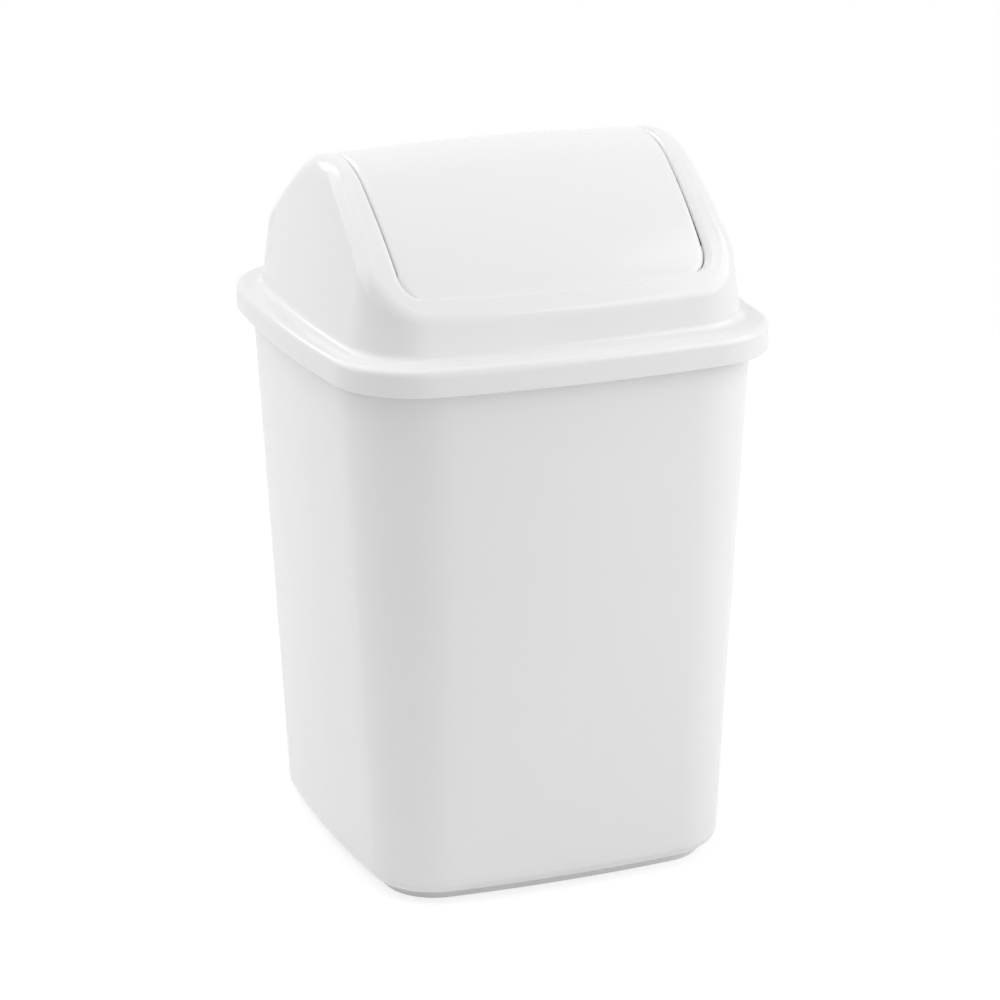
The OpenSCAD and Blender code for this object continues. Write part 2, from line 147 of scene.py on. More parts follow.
def outline(width, depth, r, side_bow, front_bow):
    """Pairs of arc centre and direction: a quarter from +X to +Y, then its mirror images."""
    cx, cy = corner_centre(width, depth, r, side_bow, front_bow)
    side_r, front_r = side_bow - r, front_bow - r
    side_turn, front_turn = asin(cy / side_r), asin(cx / front_r)
    corner_turn = pi / 2 - side_turn - front_turn
    points = []
    for i in range(SIDE_STEPS):
        t = side_turn * i / SIDE_STEPS
        points.append((cx + side_r * (cos(t) - cos(side_turn)), side_r * sin(t), t))
    for i in range(CORNER_STEPS):
        points.append((cx, cy, side_turn + corner_turn * i / CORNER_STEPS))
    for i in range(FRONT_STEPS + 1):
        t = pi / 2 - front_turn * (1 - i / FRONT_STEPS)
        points.append((front_r * cos(t), cy + front_r * (sin(t) - cos(front_turn)), t))
    quarter = [(Vector((x, y, 0)), Vector((cos(t), sin(t), 0))) for x, y, t in points]
    return (quarter + mirrored(quarter[-2::-1], -1, 1) + mirrored(quarter[1:], -1, -1)
            + mirrored(quarter[-2:0:-1], 1, -1))


def ring(shape, r, z):
    return [centre + r * normal + Vector((0, 0, z)) for centre, normal in shape]


def rings(shape, section):
    return [ring(shape, r, z) for r, z in section]


lid_shape = outline(LID_WIDTH, LID_DEPTH, LID_CORNER, WALL_BOW, WALL_BOW)
print(len(lid_shape), "points in an outline")

# %% [markdown]
# ## Pulling a wall up ring by ring
#
# A thin moulding could be a solid block that is hollowed out by a boolean, but the cut
# leaves uneven faces at the edges. It is easier to shape as a potter raises a pot. It
# starts as one ring of edges, and each new ring is an extrusion of the last one, moved
# to its new place. The extrude operator makes the faces, so the wall stays one skin.

# %% Helpers that start a wall and pull it on


def first_ring(bm, places):
    """A circle with a point for each place, its points listed in order and moved there."""
    made = bmesh.ops.create_circle(bm, segments=len(places), radius=1)["verts"]
    start = made[0]
    loop, edge = [start], start.link_edges[0]
    while len(loop) < len(places):
        loop.append(edge.other_vert(loop[-1]))
        edge = next(e for e in loop[-1].link_edges if e != edge)
    for vert, place in zip(loop, places):
        vert.co = place * MM
    return loop


def ring_edges(bm, loop):
    return [bm.edges.get((a, b)) for a, b in zip(loop, loop[1:] + loop[:1])]


def pull(bm, loop, places):
    """Extrudes a ring of edges and moves the new ring to its places."""
    made = bmesh.ops.extrude_edge_only(bm, edges=ring_edges(bm, loop))["geom"]
    new = {g for g in made if isinstance(g, bmesh.types.BMVert)}
    pulled = [next(e.other_vert(v) for e in v.link_edges if e.other_vert(v) in new) for v in loop]
    for vert, place in zip(pulled, places):
        vert.co = place * MM
    return pulled


def pull_all(bm, places_list):
    """Pulls a wall through all its rings and returns the first one and the last."""
    loop = first = first_ring(bm, places_list[0])
    for places in places_list[1:]:
        loop = pull(bm, loop, places)
    return first, loop


def fill_ends(bm, ends):
    for end in ends:
        bmesh.ops.contextual_create(bm, geom=ring_edges(bm, end))


# %% Helpers that draw a round and finish a piece


def arc(cx, cz, r, start, end, steps):
    """Corner radius and height along an arc, with angles from the outward direction."""
    turns = [start + (end - start) * i / steps for i in range(steps + 1)]
    return [(cx + r * cos(t), cz + r * sin(t)) for t in turns]


def finish_piece(bm, name, body, node):
    """Turns the faces outwards, shades them smooth, and hands the piece to the frame."""
    bmesh.ops.recalc_face_normals(bm, faces=bm.faces)
    for face in bm.faces:
        face.smooth = True
    mesh = bpy.data.meshes.new(name)
    bm.to_mesh(mesh)
    open_edges = sum(1 for e in bm.edges if len(e.link_faces) != 2)
    print(name, len(mesh.polygons), "faces,", open_edges, "open edges")
    bm.free()
    piece = bpy.data.objects.new(name, mesh)
    scene.collection.objects.link(piece)
    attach(piece, body)
    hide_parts(node)
    return piece


# %% [markdown]
# ## The body
#
# The body is a deep bucket. Its wall leans out by three degrees so that it leaves
# the mould, and it runs into the floor in a generous fillet. Under the floor a foot
# ring, set in from the wall, carries the bin. The rim is thickened outward into a
# bead that stiffens the wall and locates the hood.
#
# A box with a Solidify and a Bevel modifier would come close, but one modifier gives
# every edge the same round. Here each round has its own size, so the body is pulled
# through one section that runs from the middle of its underside, up the outside, over
# the rim and down the inside to the middle of the floor.

# %% The body's leaning wall
BIN_CORNER = 39.9
BIN_DRAFT = 0.0506
BIN_WALL = 1.8
bin_slant = sqrt(1 + BIN_DRAFT ** 2)
bin_lean = atan(BIN_DRAFT)


def bin_radius(z, inset=0.0):
    """The outline's corner radius at a height, on the outer face or at an inset from it."""
    return BIN_CORNER - BIN_DRAFT * (BIN_HEIGHT - z) - inset * bin_slant


def floor_fillet(r, z, inset, steps):
    """The round from a floor at height z into the wall."""
    cz = z + r
    return arc(bin_radius(cz, inset) - r * bin_slant, cz, r, -pi / 2, -bin_lean, steps)


def wall_levels(start, end, inset, count):
    """Rings up a straight wall, with one close to each end so that its shading stays straight."""
    steps = [0.01] + [i / count for i in range(1, count)] + [0.99]
    heights = [start + (end - start) * f for f in steps]
    return [(bin_radius(z, inset), z) for z in heights]


print("the body's wall leans out by", round(degrees(bin_lean), 1), "degrees")

# %% The foot ring and the rim
FOOT_HEIGHT, FOOT_INSET, FOOT_WALL, FOOT_ROUND = 3.5, 7.4, 2.2, 0.6
FLOOR_FILLET = 6.5
RIM_OUT, RIM_HEIGHT, RIM_ROUND, MOUTH_ROUND = 2.4, 4, 0.6, 0.5
# The corner radius of the small ring that closes a floor
MIDDLE = 4
# EASE takes the sharpness off a corner. HOLD is how near a ring stands to one.
EASE, HOLD = 0.4, 0.5

foot_out = bin_radius(FOOT_HEIGHT + FLOOR_FILLET) - FOOT_INSET
foot_in = foot_out - FOOT_WALL
foot_section = [
    (MIDDLE, FOOT_HEIGHT), (foot_in - HOLD, FOOT_HEIGHT), (foot_in, FOOT_HEIGHT - EASE),
    (foot_in, EASE), (foot_in + EASE, 0),
    (foot_out - FOOT_ROUND, 0), (foot_out - 0.3 * FOOT_ROUND, 0.3 * FOOT_ROUND),
    (foot_out, FOOT_ROUND),
    (foot_out, FOOT_HEIGHT - HOLD), (foot_out + EASE / 2, FOOT_HEIGHT - EASE / 8),
]
rim_low = BIN_HEIGHT - RIM_HEIGHT
rim_centre = bin_radius(BIN_HEIGHT) + RIM_OUT - RIM_ROUND
mouth_centre = bin_radius(BIN_HEIGHT, BIN_WALL) + MOUTH_ROUND
rim_section = (
    [(bin_radius(rim_low), rim_low - EASE), (bin_radius(rim_low) + EASE, rim_low)]
    + arc(rim_centre, rim_low + RIM_ROUND, RIM_ROUND, -pi / 2, 0, 3)
    + arc(rim_centre, BIN_HEIGHT - RIM_ROUND, RIM_ROUND, 0, pi / 2, 4)
    + arc(mouth_centre, BIN_HEIGHT - MOUTH_ROUND, MOUTH_ROUND, pi / 2, pi, 3)
)
print("foot section of", len(foot_section), "rings, rim section of", len(rim_section))

# %% Pull the body up and close its floor
FLOOR = 2.0
RIM_CLEAR = 1.0
inner_floor = FOOT_HEIGHT + FLOOR
inner_fillet = FLOOR_FILLET - BIN_WALL
body_section = (
    foot_section
    + floor_fillet(FLOOR_FILLET, FOOT_HEIGHT, 0, 12)
    + wall_levels(FOOT_HEIGHT + FLOOR_FILLET, rim_low, 0, 12)
    + rim_section
    + wall_levels(BIN_HEIGHT, inner_floor + inner_fillet, BIN_WALL, 10)
    + floor_fillet(inner_fillet, inner_floor, BIN_WALL, 8)[::-1]
    + [(MIDDLE, inner_floor)]
)
rim_gap = 2 * (LID_WALL + RIM_CLEAR + RIM_OUT)
body_shape = outline(LID_WIDTH - rim_gap, LID_DEPTH - rim_gap, BIN_CORNER, WALL_BOW, WALL_BOW)
bm = bmesh.new()
fill_ends(bm, pull_all(bm, rings(body_shape, body_section)))
bin_piece = finish_piece(bm, "bin_body_skin", "bin", "bin_body")

# %% [markdown]
# ## The roof line
#
# The hood and the flap share one roof. Seen from the side it is a crest arc that runs
# into two much longer arcs, and along the crest it falls a little towards both ends.
# It could be a curve that is swept along the crest, but the edges that come next need
# its height and direction at any point. So it is kept as two short formulas.
#
# The flap's roof is the same line set slightly lower, most at its front and back
# edges, where the real flap sits just under the frame round it.

# %% The roof's height and direction
EAVE = DECK + 21.1
CREST_RADIUS = 47.4
CREST_SLOPE = radians(31.4)
CROWN = 1.8
FLAP_SINK, FLAP_EDGE_SINK = 0.4, 3


def roof_line(crest_radius, top, eave):
    """The crest's radius, the long arcs' radius and the top, for a roof that ends at the eave."""
    across = OPEN_DEPTH / 2 - crest_radius * sin(CREST_SLOPE)
    down = crest_radius * (1 - cos(CREST_SLOPE)) - (top - eave)
    long_radius = ((across ** 2 + down ** 2)
                   / (-2 * (across * sin(CREST_SLOPE) + down * cos(CREST_SLOPE))))
    return crest_radius, long_radius, top


def roof_height(roof, x, y):
    near, far, top = roof
    y = abs(y)
    if y <= near * sin(CREST_SLOPE):
        z = top - near + sqrt(near ** 2 - y * y)
    else:
        out = (far - near) * sin(CREST_SLOPE)
        z = top - near - (far - near) * cos(CREST_SLOPE) + sqrt(far ** 2 - (y + out) ** 2)
    return z - CROWN * (2 * x / OPEN_WIDTH) ** 2


def roof_normal(roof, x, y):
    near, far, _ = roof
    a = abs(y)
    if a <= near * sin(CREST_SLOPE):
        lean = asin(a / near)
    else:
        lean = asin((a + (far - near) * sin(CREST_SLOPE)) / far)
    slope = sin(lean) / cos(lean)
    return Vector((8 * CROWN * x / OPEN_WIDTH ** 2, slope if y >= 0 else -slope, 1)).normalized()


def on_roof(roof, x, y, depth=0.0):
    """The point over x, y on the roof, or that far under its surface."""
    return Vector((x, y, roof_height(roof, x, y) - depth / roof_normal(roof, x, y).z))


hood_roof = roof_line(CREST_RADIUS, CREST, EAVE)
flap_roof = roof_line(CREST_RADIUS - FLAP_SINK, CREST - FLAP_SINK, EAVE - FLAP_EDGE_SINK)
print("roof's long arcs:", round(hood_roof[1], 1), "and", round(flap_roof[1], 1), "mm")

# %% [markdown]
# ## Rolled edges
#
# Where the roof turns down into a wall, a moulding has a rounded edge: the curve a
# ball leaves when it rolls along the inside of the corner. The Bevel operator could
# round it, but it rounds by width, and here the angle between roof and wall changes
# all the way along, so the round would grow and shrink. The ball touches both
# surfaces, so its centre and the two directions to the surfaces are all that an even
# round needs. Rings at steps from the wall's direction to the roof's then draw it.

# %% A ball in the corner


def rolled_edge(corner, wall_normal, roof_side, r):
    """A ball of radius r in a corner: its centre, both directions out of it, and r."""
    centre = corner - (wall_normal + roof_side) * r / (1 + wall_normal.dot(roof_side))
    return centre, wall_normal, roof_side, r


def rolled_ring(edges, step, inset=0.0):
    """A ring on the round, part of the way from the wall to the roof, or at an inset under it."""
    return [centre + (r - inset) * wall_normal.slerp(roof_side, step)
            for centre, wall_normal, roof_side, r in edges]


# %% The rolled edge between plinth and roof
PLINTH_WIDTH, PLINTH_DEPTH, PLINTH_CORNER = 170.0, 163.4, 28.0
PLINTH_BOW = 716
PLINTH_DRAFT = 0.142
ROOF_ROUND = 7.8
plinth_slant = sqrt(1 + PLINTH_DRAFT ** 2)


def plinth_radius(z, inset=0.0):
    """The plinth outline's corner radius at a height, on its outer face or at an inset."""
    return PLINTH_CORNER - PLINTH_DRAFT * (z - DECK) - inset * plinth_slant


def outer_roll(centre, normal):
    """The ball where the plinth's wall meets the roof, whose height is found by settling."""
    z = EAVE
    for _ in range(20):
        spot = centre + plinth_radius(z) * normal
        z = roof_height(hood_roof, spot.x, spot.y)
    wall = Vector((normal.x, normal.y, PLINTH_DRAFT)).normalized()
    roof_side = roof_normal(hood_roof, spot.x, spot.y)
    return rolled_edge(Vector((spot.x, spot.y, z)), wall, roof_side, ROOF_ROUND)


plinth_shape = outline(PLINTH_WIDTH, PLINTH_DEPTH, PLINTH_CORNER, PLINTH_BOW, PLINTH_BOW)
outer_edge = [outer_roll(*pair) for pair in plinth_shape]
print("the end walls reach up to", round(outer_edge[0][0].z + ROOF_ROUND, 1), "mm")

# %% [markdown]
# ## The edge of the opening
#
# The flap swings through the opening, so the opening's front and back edges can't
# simply go straight down: they follow the arc that the flap's edge draws round the
# pivot. Along the two sides nothing swings past, and the edge is a broad round that
# makes the soft groove between frame and flap.

# %% The opening's outline and the arc of the swing
OPEN_SIDE_BOW, OPEN_FRONT_BOW = 2000, 625
open_size = (OPEN_WIDTH, OPEN_DEPTH, OPEN_CORNER, OPEN_SIDE_BOW, OPEN_FRONT_BOW)
open_shape = outline(*open_size)
open_cx, open_cy = corner_centre(*open_size)


def open_half_depth(x):
    """How far the opening's outline reaches forward at a distance x from the middle."""
    x = abs(x)
    if x < open_cx * OPEN_FRONT_BOW / (OPEN_FRONT_BOW - OPEN_CORNER):
        return OPEN_DEPTH / 2 - OPEN_FRONT_BOW + sqrt(OPEN_FRONT_BOW ** 2 - x * x)
    return open_cy + sqrt(max(0, OPEN_CORNER ** 2 - (x - open_cx) ** 2))


def within_swing(x, y, z, gap=0.0):
    """Moves y in until the point lies on the arc that the opening's edge draws round the pivot."""
    edge = open_half_depth(x)
    reach = sqrt(edge ** 2 + (PIVOT - roof_height(hood_roof, x, edge)) ** 2) - gap
    limit = sqrt(reach ** 2 - (PIVOT - z) ** 2)
    return max(-limit, min(limit, y))


def arc_wall(spot, normal):
    """The direction out of a wall that stands on the opening's outline and follows that arc."""
    lean = abs(normal.y) * (PIVOT - spot.z) / max(abs(spot.y), 1)
    return Vector((normal.x, normal.y, -lean)).normalized()


print("the flap's edge turns", round(PIVOT - roof_height(hood_roof, 0, OPEN_DEPTH / 2), 1),
      "mm below the pivot")

# %% The opening's rolled edge
OPEN_ROUND, OPEN_CRISP = 2.6, 0.3


def side_roll(normal):
    """The edges beside the opening are round along its sides and crisp along front and back."""
    return OPEN_CRISP + (OPEN_ROUND - OPEN_CRISP) * (1 - normal.y ** 6)


def inner_roll(centre, normal):
    spot = centre + OPEN_CORNER * normal
    spot = on_roof(hood_roof, spot.x, spot.y)
    roof_side = roof_normal(hood_roof, spot.x, spot.y)
    return rolled_edge(spot, -arc_wall(spot, normal), roof_side, side_roll(normal))


inner_edge = [inner_roll(*pair) for pair in open_shape]
print("the opening's edge is at", round(inner_edge[0][0].z + OPEN_ROUND, 1), "mm beside the pivot")

# %% [markdown]
# ## The hood
#
# The hood is one moulding: a skirt that closes over the body's rim, a flat deck, a
# plinth whose walls lean in, and the roof with the flap's opening in it. It could be
# joined from four pieces, but each join would need its own fillet. Its section is a
# closed path instead: up the outside from the skirt's lower edge, over the roof, down
# into the opening and back along the inside. The last ring is bridged to the first.

# %% Rings between the hood's edges
plinth_lean = atan(PLINTH_DRAFT)


def deck_fillet(r, z, inset, steps):
    """The hollow round from a deck at height z into the plinth's wall."""
    cz = z + r
    return arc(plinth_radius(cz, inset) + r * plinth_slant, cz, r, -pi / 2, plinth_lean - pi, steps)


def between(ring_a, ring_b, f):
    return [a.lerp(b, f) for a, b in zip(ring_a, ring_b)]


def roof_between(depth, f):
    """A ring on the roof, or under it, part of the way from its outer edge to the opening."""
    pairs = zip(rolled_ring(outer_edge, 1), rolled_ring(inner_edge, 1))
    return [on_roof(hood_roof, *p.lerp(q, f).xy, depth) for p, q in pairs]


# %% The hood's outside
SKIRT, SKIRT_EDGE, SKIRT_ROUND = 11.0, 0.5, 3
DECK_FILLET = 3.2
# How near a ring on the flat deck stands to the rounds at both its sides
NEAR = 0.3

skirt_low = DECK - SKIRT
skirt_section = (
    arc(LID_CORNER - SKIRT_EDGE, skirt_low + SKIRT_EDGE, SKIRT_EDGE, -pi / 2, 0, 4)
    + [(LID_CORNER, skirt_low + 2 * SKIRT_EDGE), (LID_CORNER, DECK - SKIRT_ROUND - NEAR)]
    + arc(LID_CORNER - SKIRT_ROUND, DECK - SKIRT_ROUND, SKIRT_ROUND, 0, pi / 2, 8)
    + [(LID_CORNER - SKIRT_ROUND - NEAR, DECK)]
)
fillet_start = plinth_radius(DECK + DECK_FILLET) + DECK_FILLET * plinth_slant
fillet_section = [(fillet_start + NEAR, DECK)] + deck_fillet(DECK_FILLET, DECK, 0, 8)
wall_foot, wall_top = ring(plinth_shape, *fillet_section[-1]), rolled_ring(outer_edge, 0)
hood_outside = (
    rings(lid_shape, skirt_section) + rings(plinth_shape, fillet_section)
    + [between(wall_foot, wall_top, f) for f in (0.02, 0.25, 0.5, 0.75, 0.98)]
    + [rolled_ring(outer_edge, i / 10) for i in range(11)]
    + [roof_between(0, f) for f in (0.04, 0.3, 0.6, 0.96)]
    + [rolled_ring(inner_edge, 1 - i / 6) for i in range(7)]
)
print("hood's outside of", len(hood_outside), "rings")

# %% The lip round the opening
LIP_START, LIP_DEPTH, LIP_TOP = 0.3, 1.6, 0.2


def lip_ring(out, down):
    """A ring of the lip inside the opening, which follows the flap's arc along front and back."""
    places = []
    for (centre, normal), (ball, wall_normal, _, r) in zip(open_shape, inner_edge):
        edge = centre + OPEN_CORNER * normal
        foot = edge + LID_WALL * normal
        z = min((ball + r * wall_normal).z, on_roof(hood_roof, foot.x, foot.y, LID_WALL).z) - down
        y = within_swing(edge.x, edge.y, z) + out * normal.y
        places.append(Vector((edge.x + out * normal.x, y, z)))
    return places


def lip_root():
    """Where the lip meets the underside of the roof, clear of the rounded edge above it."""
    places = []
    for (centre, normal), (_, _, _, r) in zip(open_shape, inner_edge):
        spot = centre + (OPEN_CORNER + max(LID_WALL, r)) * normal
        places.append(on_roof(hood_roof, spot.x, spot.y, LID_WALL))
    return places


hood_lip = [lip_ring(0, LIP_START), lip_ring(0, LIP_DEPTH), lip_ring(LID_WALL, LIP_DEPTH),
            lip_ring(LID_WALL, LIP_TOP), lip_root()]
print("lip of", len(hood_lip), "rings")

# %% The hood's inside
SKIRT_EASE = 0.4
under_fillet = deck_fillet(DECK_FILLET + LID_WALL, BIN_HEIGHT, LID_WALL, 6)
inside_foot = ring(plinth_shape, *under_fillet[-1])
inside_top = rolled_ring(outer_edge, 0, LID_WALL)
skirt_inside = LID_CORNER - LID_WALL
under_skirt = (
    [(LID_CORNER - SKIRT_ROUND - NEAR, BIN_HEIGHT)]
    + arc(LID_CORNER - SKIRT_ROUND, DECK - SKIRT_ROUND, SKIRT_ROUND - LID_WALL, pi / 2, 0, 4)
    + [(skirt_inside, skirt_low + 2 * SKIRT_EDGE), (skirt_inside, skirt_low + SKIRT_EASE),
       (skirt_inside + SKIRT_EASE, skirt_low)]
)
hood_inside = (
    [roof_between(LID_WALL, f) for f in (0.9, 0.5, 0.04)]
    + [rolled_ring(outer_edge, 1 - i / 6, LID_WALL) for i in range(7)]
    + [between(inside_top, inside_foot, f) for f in (0.02, 0.35, 0.7, 0.98)]
    + rings(plinth_shape, under_fillet[::-1]) + rings(lid_shape, under_skirt)
)
print("hood's inside of", len(hood_inside), "rings")

# %% [markdown]
# ## The sockets inside the hood
#
# On the inside of each end wall stands a round boss with a blind hole for the flap's
# pin, and two short ribs that stop the swing. The hole could be cut with a boolean,
# but a round section that turns back into itself makes boss and hole at once.
#
# These are small closed shapes set into the wall. A slanting cut trims each one off
# in the middle of the wall's thickness, so that nothing shows outside.

# %% Round shapes along the pivot's axis
FLAP_GAP = 0.9
FLAP_HALF = OPEN_WIDTH / 2 - FLAP_GAP


def round_ring(x, r, drop, segments=48):
    turns = [2 * pi * i / segments for i in range(segments)]
    return [Vector((x, r * cos(t), PIVOT - drop + r * sin(t))) for t in turns]


def turned(bm, profile, drop=0.0):
    """A closed round shape from (x, radius) pairs, on the pivot's axis or that far below it."""
    fill_ends(bm, pull_all(bm, [round_ring(x, r, drop) for x, r in profile]))


def all_parts(bm):
    return set(list(bm.verts) + list(bm.edges) + list(bm.faces))


def other_end_too(bm, made_before):
    """Copies what was added for the +X end to the -X end, turned half way round the bin."""
    new = [g for g in list(bm.verts) + list(bm.edges) + list(bm.faces) if g not in made_before]
    copies = bmesh.ops.duplicate(bm, geom=new)["geom"]
    copied = [g for g in copies if isinstance(g, bmesh.types.BMVert)]
    bmesh.ops.rotate(bm, verts=copied, cent=(0, 0, 0), matrix=Matrix.Rotation(pi, 3, "Z"))


print("the flap's ends are", round(FLAP_HALF, 1), "mm from the middle")

# %% One boss and its two ribs
PIN = 3.0
BOSS, BOSS_EDGE = 6.0, 0.5
BORE, BORE_LEAD, BORE_DEPTH = PIN + 0.05, 1, 6.2
RIB_LENGTH, RIB_THICK, RIB_HEIGHT = 14, 1.8, 10.5
RIB_BACK, RIB_DROP, RIB_TURN = 0.6, 9.25, radians(75)
SOCKET_FACE = FLAP_HALF + 0.8
# Past the outside of the wall, where the cut takes the rest away
BOSS_END = 80


def add_rib(bm, side):
    rib = bmesh.ops.create_cube(bm, size=MM)["verts"]
    bmesh.ops.scale(bm, verts=rib, vec=(RIB_LENGTH, RIB_THICK, RIB_HEIGHT))
    place = Vector((SOCKET_FACE + RIB_BACK + RIB_LENGTH / 2, side * RIB_THICK / 2, -RIB_DROP))
    bmesh.ops.translate(bm, verts=rib, vec=place * MM)
    bmesh.ops.rotate(bm, verts=rib, cent=(0, 0, 0), matrix=Matrix.Rotation(side * RIB_TURN, 3, "X"))
    bmesh.ops.translate(bm, verts=rib, vec=(0, 0, PIVOT * MM))


def add_sockets(bm):
    before = all_parts(bm)
    x = SOCKET_FACE
    turned(bm, [(BOSS_END, BOSS), (x + BOSS_EDGE, BOSS),
                (x + 0.3 * BOSS_EDGE, BOSS - 0.3 * BOSS_EDGE), (x, BOSS - BOSS_EDGE),
                (x, BORE + BORE_LEAD), (x + BORE_LEAD, BORE), (x + BORE_DEPTH, BORE)])
    for side in (-1, 1):
        add_rib(bm, side)
    new = [g for g in all_parts(bm) if g not in before]
    wall_middle = Vector((PLINTH_WIDTH / 2 - LID_WALL / 2, 0, DECK)) * MM
    bmesh.ops.bisect_plane(bm, geom=new, plane_co=wall_middle, plane_no=(1, 0, PLINTH_DRAFT),
                           clear_outer=True)
    cut = [e for e in bm.edges if len(e.link_faces) == 1]
    bmesh.ops.holes_fill(bm, edges=cut, sides=0)
    other_end_too(bm, before)


# %% Pull the hood round its section and add its sockets
bm = bmesh.new()
first, last = pull_all(bm, hood_outside + hood_lip + hood_inside)
bmesh.ops.bridge_loops(bm, edges=ring_edges(bm, last) + ring_edges(bm, first))
add_sockets(bm)
hood_piece = finish_piece(bm, "lid_hood_skin", "hood", "lid_hood")

# %% [markdown]
# ## The flap
#
# The flap fills the opening with a hairline gap all round. Its front and back edges
# are struck from the pivot, so that they pass the frame's edge by the same gap at every
# angle of the swing. Its sides turn down into edges that stiffen it and carry the pins.
#
# A bent sheet with a Solidify modifier would give the face but a square edge. Here the
# edge is rolled with the same ball as the frame's, so that the two rounds make one
# even groove with the gap at its bottom.

# %% The flap's rolled edge
SHOWN_GAP = 0.12


def flap_roll(centre, normal):
    spot = centre + (OPEN_CORNER - SHOWN_GAP) * normal
    y = spot.y
    for _ in range(8):
        y = within_swing(spot.x, spot.y, roof_height(flap_roof, spot.x, y), SHOWN_GAP)
    spot = on_roof(flap_roof, spot.x, y)
    roof_side = roof_normal(flap_roof, spot.x, y)
    return rolled_edge(spot, arc_wall(spot, normal), roof_side, side_roll(normal))


flap_edge = [flap_roll(*pair) for pair in open_shape]
print("the flap's edge is at", round(flap_edge[0][0].z + OPEN_ROUND, 1), "mm beside the pivot")

# %% The flap's turned-down edge
FLAP_THICKNESS = 1.6
# How far the edge hangs under the face at the sides, at front and back, and at least
HEM_SIDE, HEM_FRONT, HEM_LEAST = 8, 0.4, 0.5
HEM_EASE = 0.2


def hem(inset, rise):
    """A ring of the turned-down edge, in from its outer face and up from its lower end."""
    places = []
    for centre, wall_normal, _, r in flap_edge:
        outer = centre + r * wall_normal
        normal = Vector((wall_normal.x, wall_normal.y, 0)).normalized()
        inner = outer - FLAP_THICKNESS * normal
        turn_down = HEM_SIDE * sqrt(max(0, 1 - (outer.y / open_cy) ** 2))
        under = on_roof(flap_roof, inner.x, inner.y, FLAP_THICKNESS).z
        z = min(under - HEM_FRONT - turn_down, outer.z - HEM_LEAST)
        y = within_swing(outer.x, outer.y, z, SHOWN_GAP)
        places.append(Vector((outer.x - inset * normal.x, y - inset * normal.y, z + rise)))
    return places


def under_rim():
    """Where the turned-down edge meets the underside of the face."""
    places = []
    for centre, wall_normal, _, r in flap_edge:
        spot = centre + min(0, r - FLAP_THICKNESS) * wall_normal
        places.append(on_roof(flap_roof, spot.x, spot.y, FLAP_THICKNESS))
    return places


flap_rings = (
    [rolled_ring(flap_edge, 1 - i / 6) for i in range(7)]
    + [hem(0, HEM_EASE), hem(HEM_EASE, 0), hem(FLAP_THICKNESS - HEM_EASE, 0),
       hem(FLAP_THICKNESS, 0.75 * HEM_EASE), under_rim()]
)
print("flap edge of", len(flap_rings), "rings")

# %% [markdown]
# ## The flap's face
#
# The face is a smooth saddle inside its rim. One big face would be flat, and rings
# drawn in towards the middle would pinch into a ridge along the crest, which the gloss
# shows at once. The grid fill operator lays rows and columns across instead, and every
# new point is then lifted to the roof line.

# %% Fill a face of the flap


def fill_face(bm, loop, depth):
    """Fills one rim of the flap, from the middle of each corner to the middle of the next."""
    corner = SIDE_STEPS + CORNER_STEPS // 2
    half = 2 * QUARTER
    chains = [loop[corner:half - corner + 1], loop[half + corner:2 * half - corner + 1]]
    known = set(bm.verts)
    sides = [bm.edges.get((a, b)) for chain in chains for a, b in zip(chain, chain[1:])]
    bmesh.ops.grid_fill(bm, edges=sides, use_interp_simple=True)
    new = [vert for vert in bm.verts if vert not in known]
    for vert in new:
        vert.co = on_roof(flap_roof, vert.co.x / MM, vert.co.y / MM, depth) * MM
    print(len(new), "points inside the rim")


bm = bmesh.new()
face_rim, under_face_rim = pull_all(bm, flap_rings)
fill_face(bm, face_rim, 0)
fill_face(bm, under_face_rim, FLAP_THICKNESS)

# %% [markdown]
# ## The flap's pins
#
# An ear hangs from each turned-down side. It carries the pin that turns in the hood's
# socket, and below it a small peg that meets the ribs at the end of the swing. Both
# are turned shapes, so they are pulled along the pivot's axis as the boss was, and the
# ear is its outline pulled once. One end is made and copied to the other.

# %% Add the ears, pins and pegs
EAR, EAR_THICK, EAR_INSET = 8, 1.8, 0.3
# Half the angle that the ear's circle leaves open where the peg's ear joins it
EAR_OPEN = 25.2
PIN_REACH = 6.6
PEG, PEG_EAR, PEG_DROP, PEG_REACH, PEG_EDGE = 1.8, 3.4, 11.5, 5, 0.3


def ear_ring(x):
    """The ear's outline: most of a big circle, and half a small one under it for the peg."""
    big = [radians(EAR_OPEN - 90 + (360 - 2 * EAR_OPEN) * i / 40) for i in range(41)]
    small = [pi + pi * i / 16 for i in range(17)]
    return ([Vector((x, EAR * cos(t), PIVOT + EAR * sin(t))) for t in big]
            + [Vector((x, PEG_EAR * cos(t), PIVOT + PEG_EAR * sin(t) - PEG_DROP)) for t in small])


def add_pivots(bm):
    before = all_parts(bm)
    x = FLAP_HALF - EAR_INSET
    fill_ends(bm, pull_all(bm, [ear_ring(x - EAR_THICK), ear_ring(x)]))
    # Pin and peg start inside the ear, and the pin's end is rounded to find its socket.
    root = x - 0.5
    tip = FLAP_HALF + PIN_REACH
    turned(bm, [(root, PIN), (tip - 0.8, PIN), (tip - 0.1, PIN - 0.7), (tip, PIN - 0.95)])
    tip = FLAP_HALF + PEG_REACH
    turned(bm, [(root, PEG), (tip - PEG_EDGE, PEG), (tip, PEG - PEG_EDGE)], drop=PEG_DROP)
    other_end_too(bm, before)


add_pivots(bm)
flap_piece = finish_piece(bm, "swing_flap_skin", "flap", "swing_flap")

